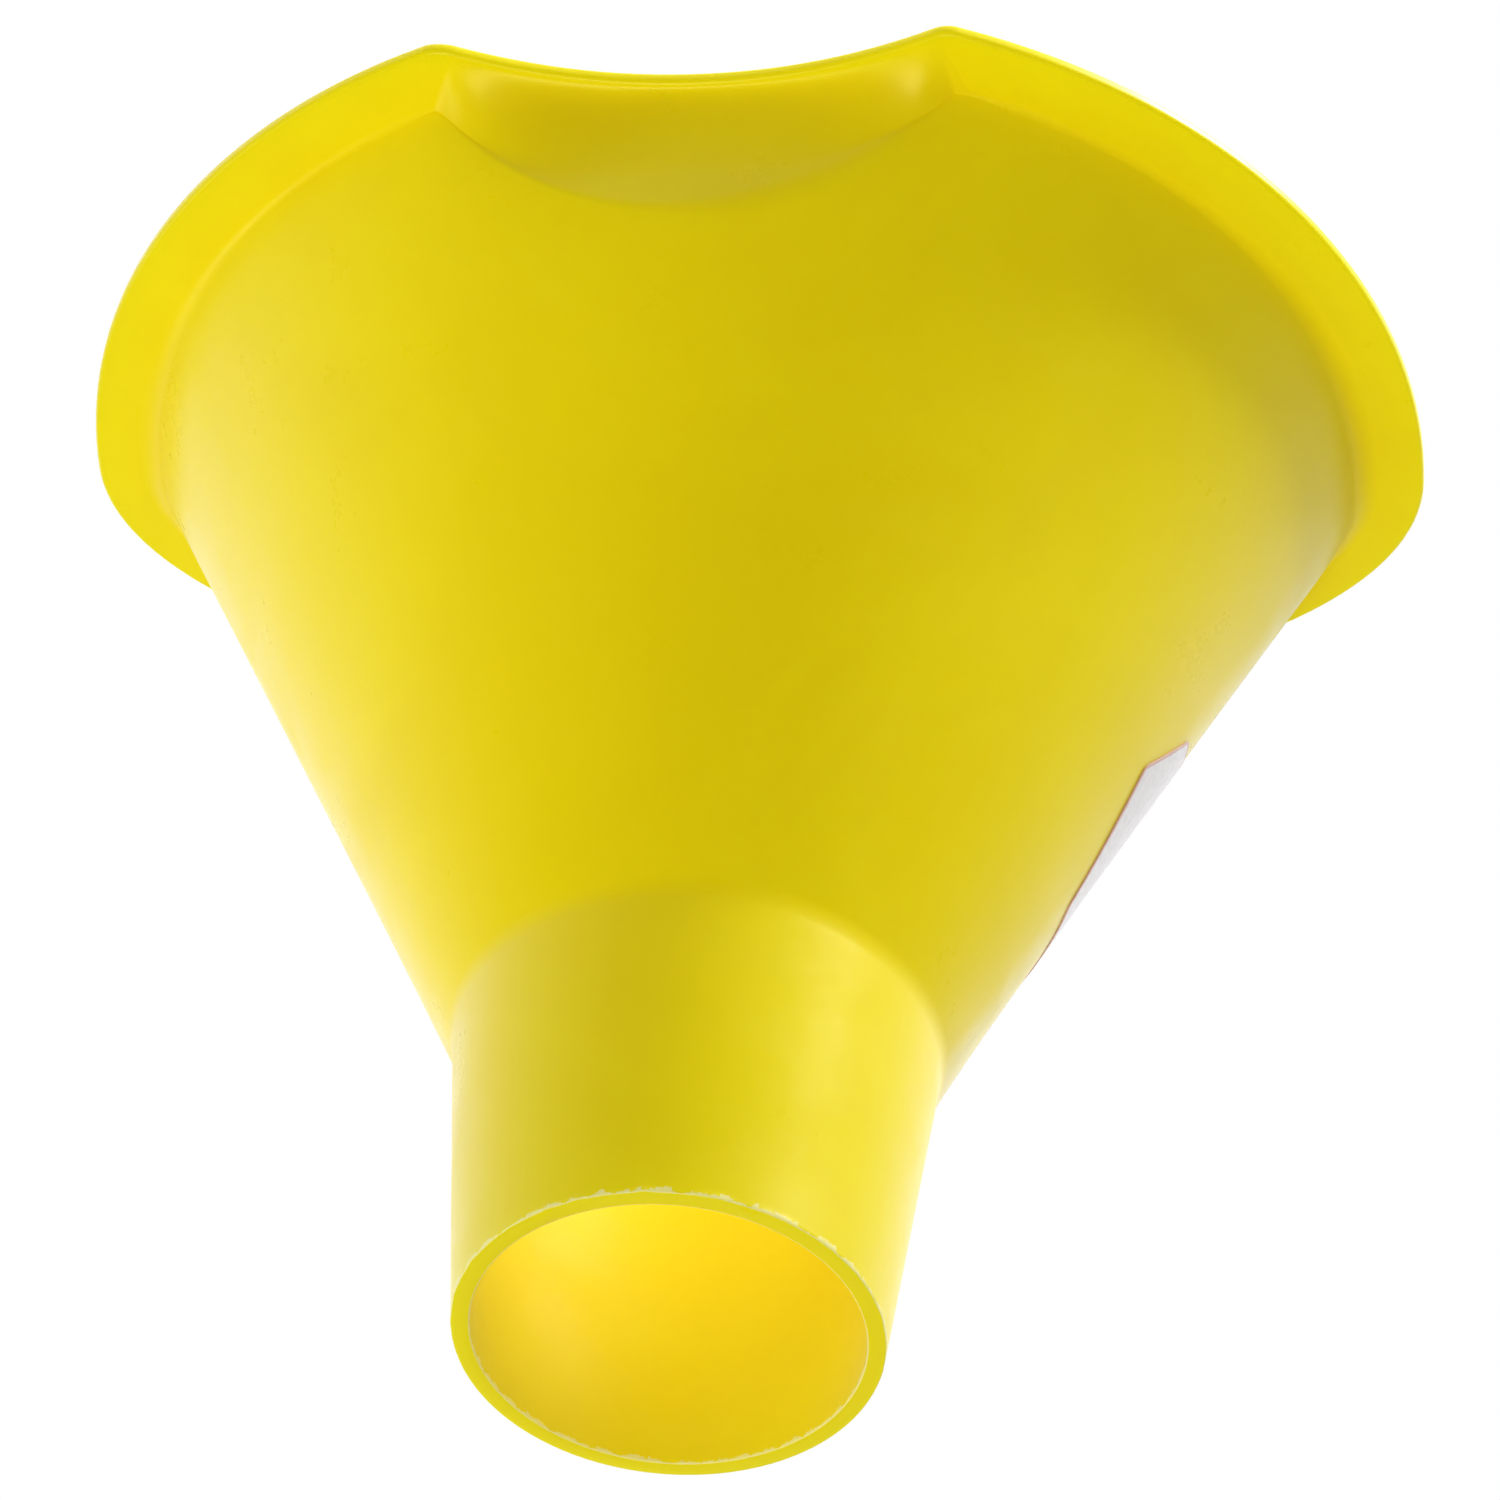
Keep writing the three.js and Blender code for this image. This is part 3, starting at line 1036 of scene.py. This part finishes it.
@dataclass
class Label:
    """The adhesive label on the cone's +X side."""

    body: FunnelBody
    length: float = LABEL_LENGTH
    height: float = LABEL_HEIGHT
    tilt: float = math.radians(15.8)
    corner_cut: float = LABEL_CUT
    corner_r: float = 0.9 * MM
    strips: int = 12
    corner_angle: float = math.radians(84.1)
    corner_z: float = 106.0 * MM
    standoff: float = 0.03 * MM
    thickness: float = 0.2 * MM

    def wrapped(self, along: float, down: float, offset: float) -> Vector:
        """Point of the label on the cone.

        Args:
            along: Distance along the label from its front edge.
            down: Distance down from its upper edge.
            offset: Distance out from the cone.

        Returns:
            The point about the spout's axis.
        """
        cone = self.body
        turned = along * math.cos(self.tilt) + down * math.sin(self.tilt)
        raised = along * math.sin(self.tilt) - down * math.cos(self.tilt)
        top = cone.cone_radius(self.corner_angle, cone.mouth_z)
        slope = (top - cone.junction_r) / (cone.mouth_z - cone.junction_z)
        z = self.corner_z + raised / math.hypot(1.0, slope)
        angle = self.corner_angle + turned / cone.cone_radius(self.corner_angle, z)
        out = offset / math.hypot(1.0, slope)
        point = plan_point(angle, cone.cone_radius(angle, z) + out)
        return Vector((point.x, point.y, z - out * slope))

    def build(self, finish: bpy.types.Material) -> bpy.types.Object:
        """Cuts the film and its corners flat, wraps it on the cone and gives it a thickness.

        Args:
            finish: The label's material.

        Returns:
            The finished object.
        """
        deselect_everything()
        bpy.ops.mesh.primitive_plane_add(size=1.0)
        film = bpy.context.object
        film.name = "adhesive_label"
        film.data.name = "adhesive_label"
        film.data.transform(Matrix.Diagonal((self.length, self.height, 1.0, 1.0)))
        bpy.ops.object.mode_set(mode="EDIT")
        bpy.ops.mesh.select_all(action="SELECT")
        bpy.ops.mesh.bevel(offset=self.corner_cut, segments=1, affect="VERTICES")
        bpy.ops.mesh.select_all(action="SELECT")
        bpy.ops.mesh.bevel(offset=self.corner_r, segments=4, affect="VERTICES")
        for share in [i / self.strips for i in range(1, self.strips)]:
            for axis, size in ((0, self.length), (1, self.height)):
                at, across = [0.0, 0.0, 0.0], [0.0, 0.0, 0.0]
                at[axis] = (share - 0.5) * size
                across[axis] = 1.0
                bpy.ops.mesh.select_all(action="SELECT")
                bpy.ops.mesh.bisect(plane_co=at, plane_no=across)
        bpy.ops.mesh.select_all(action="SELECT")
        bpy.ops.mesh.remove_doubles(threshold=0.00001)
        bpy.ops.object.mode_set(mode="OBJECT")
        self.map_film(film)
        for vert in film.data.vertices:
            flat = vert.co.copy()
            along, down = flat.x + self.length / 2, self.height / 2 - flat.y
            vert.co = self.wrapped(along, down, self.standoff)
        film.data.transform(Matrix.Translation((0.0, self.body.axis_y, 0.0)))
        self.thicken(film)
        film.data.materials.clear()
        film.data.materials.append(finish)
        return film

    def map_film(self, film: bpy.types.Object) -> None:
        """Keeps the flat film's own sizes as its UV map, in metres.

        Args:
            film: The flat label.
        """
        for layer in list(film.data.uv_layers):
            film.data.uv_layers.remove(layer)
        layer = film.data.uv_layers.new(name="film")
        for loop in film.data.loops:
            layer.data[loop.index].uv = film.data.vertices[loop.vertex_index].co.to_2d()

    def thicken(self, film: bpy.types.Object) -> None:
        """Gives the wrapped film its thickness, outward.

        Args:
            film: The wrapped label.
        """
        make_active(film)
        bpy.ops.object.mode_set(mode="EDIT")
        bpy.ops.mesh.select_all(action="SELECT")
        bpy.ops.mesh.normals_make_consistent(inside=False)
        bpy.ops.object.mode_set(mode="OBJECT")
        middle = film.data.polygons[len(film.data.polygons) // 2]
        outward = Vector((middle.center.x, middle.center.y - self.body.axis_y, 0.0))
        if middle.normal.dot(outward) < 0:
            film.data.flip_normals()
        solid = film.modifiers.new("film_thickness", "SOLIDIFY")
        solid.thickness = self.thickness
        solid.offset = 1.0
        bpy.ops.object.modifier_apply(modifier=solid.name)
        bpy.ops.object.shade_smooth_by_angle(angle=math.radians(40))


# --------------------------------------------------------------------------------------
# Studio and camera
# --------------------------------------------------------------------------------------


@dataclass(frozen=True)
class Softbox:
    """One soft rectangular lamp, aimed at the funnel."""

    name: str
    azimuth: float
    elevation: float
    distance: float
    size: float
    power: float
    colour: tuple[float, float, float] = (1.0, 1.0, 1.0)

    def build(self, target: Vector) -> bpy.types.Object:
        """Places the lamp.

        Args:
            target: The point it is aimed at.

        Returns:
            The lamp.
        """
        a, e = math.radians(self.azimuth), math.radians(self.elevation)
        aim = Vector((math.sin(a) * math.cos(e), -math.cos(a) * math.cos(e), math.sin(e)))
        deselect_everything()
        bpy.ops.object.light_add(type="AREA", location=target + aim * self.distance)
        lamp = bpy.context.object
        lamp.name = self.name
        lamp.rotation_euler = aim.to_track_quat("Z", "Y").to_euler()
        lamp.data.shape = "SQUARE"
        lamp.data.size = self.size
        lamp.data.energy = self.power
        lamp.data.color = self.colour
        lamp.visible_camera = False
        return lamp


@dataclass
class Studio:
    """Pale floor, white surroundings and soft lamps."""

    floor_size: float = 6.0
    clearance: float = 0.1 * MM
    front_light: float = 0.22
    back_light: float = 1.3
    bright_side: tuple[float, float, float] = (-0.15, 0.65, 0.74)
    fade_from: float = -0.3
    fade_to: float = 0.8
    aim_height: float = 0.09
    lamps: tuple[Softbox, ...] = (
        Softbox("key_softbox", 76.0, 51.0, 1.3, 0.35, 19.0),
        Softbox("left_softbox", -95.0, -28.0, 1.4, 0.7, 4.2),
        Softbox("under_softbox", -6.0, -60.0, 1.5, 0.7, 11.5),
    )

    def build(self, finish: bpy.types.Material) -> None:
        """Makes the floor, the surroundings and the lamps.

        Args:
            finish: The floor's material.
        """
        deselect_everything()
        bpy.ops.mesh.primitive_plane_add(size=self.floor_size, location=(0.0, 0.0, -self.clearance))
        floor = bpy.context.object
        floor.name = "pale_floor"
        floor.data.materials.append(finish)
        for lamp in self.lamps:
            lamp.build(Vector((0.0, 0.0, self.aim_height)))
        self.surroundings()

    def surroundings(self) -> None:
        """Makes the world white to look at, and as light brighter behind than in front."""
        world = bpy.data.worlds.new("white_surroundings")
        bpy.context.scene.world = world
        world.use_nodes = True
        sheet = NodeSheet(world.node_tree)
        sky = world.node_tree.nodes["Background"]
        sky.inputs["Color"].default_value = (1.0, 1.0, 1.0, 1.0)
        toward = sheet.add("ShaderNodeTexCoord").outputs["Generated"]
        side = sheet.add("ShaderNodeVectorMath", operation="DOT_PRODUCT")
        sheet.join(toward, side.inputs[0])
        side.inputs[1].default_value = Vector(self.bright_side).normalized()
        fade = (self.fade_from, self.fade_to, self.front_light, self.back_light)
        light = sheet.spread(side.outputs["Value"], *fade)
        seen = sheet.add("ShaderNodeLightPath").outputs["Is Camera Ray"]
        plain = sheet.math("MULTIPLY", light, sheet.math("SUBTRACT", 1.0, seen))
        sheet.join(sheet.math("ADD", plain, seen), sky.inputs["Strength"])
        bpy.context.scene.view_settings.view_transform = "Standard"


@dataclass(frozen=True)
class ShotCamera:
    """A long lens in front of the funnel and below it, looking up at the spout."""

    reach: float = 0.69971
    height: float = -0.58402
    bearing: float = math.radians(7.11)
    yaw: float = 0.004107
    pitch: float = 0.775812
    roll: float = 0.09942
    lens: float = 176.652

    def build(self, axis_y: float) -> bpy.types.Object:
        """Places the camera and makes it the scene's.

        Args:
            axis_y: Where the spout's axis stands on Y.

        Returns:
            The camera.
        """
        forward = Vector(
            (
                math.sin(self.yaw) * math.cos(self.pitch),
                math.cos(self.yaw) * math.cos(self.pitch),
                math.sin(self.pitch),
            )
        )
        level = Vector((math.cos(self.yaw), -math.sin(self.yaw), 0.0))
        top = level.cross(forward)
        right = level * math.cos(self.roll) + top * math.sin(self.roll)
        up = top * math.cos(self.roll) - level * math.sin(self.roll)
        turn = Matrix((right, up, -forward)).transposed().to_4x4()
        stand = Matrix.Translation((0.0, -self.reach, self.height))
        swing = Matrix.Rotation(self.bearing, 4, "Z")
        deselect_everything()
        bpy.ops.object.camera_add()
        camera = bpy.context.object
        camera.name = "shot_camera"
        camera.data.sensor_width = 36.0
        camera.data.lens = self.lens
        camera.data.clip_start = 0.05
        camera.matrix_world = Matrix.Translation((0.0, axis_y, 0.0)) @ swing @ stand @ turn
        bpy.context.scene.camera = camera
        return camera


def spout_axis() -> float:
    """Where the spout's axis stands on Y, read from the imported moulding's lowest ring.

    Returns:
        The axis' place in metres.
    """
    low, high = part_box("funnel_body")
    ring = [v.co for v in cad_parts["funnel_body"].data.vertices if v.co.z < low.z + 1e-5]
    return (min(p.y for p in ring) + max(p.y for p in ring)) / 2


def main() -> None:
    """Builds every piece in order."""
    axis_y = spout_axis()
    log.info("spout axis at y = %.5f m", axis_y)
    ShotCamera().build(axis_y)
    skin = moulded_skin_group()
    moulding = FunnelBody(axis_y)
    body = moulding.build(PolyethyleneFinish().build(skin))
    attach(body, "root")
    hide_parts("funnel_body")
    log.info("%s: %d faces", body.name, len(body.data.polygons))
    label = Label(moulding).build(LabelFinish().build())
    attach(label, "root")
    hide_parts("label")
    log.info("%s: %d faces", label.name, len(label.data.polygons))
    Studio().build(FloorFinish().build())


if __name__ == "__main__":
    main()
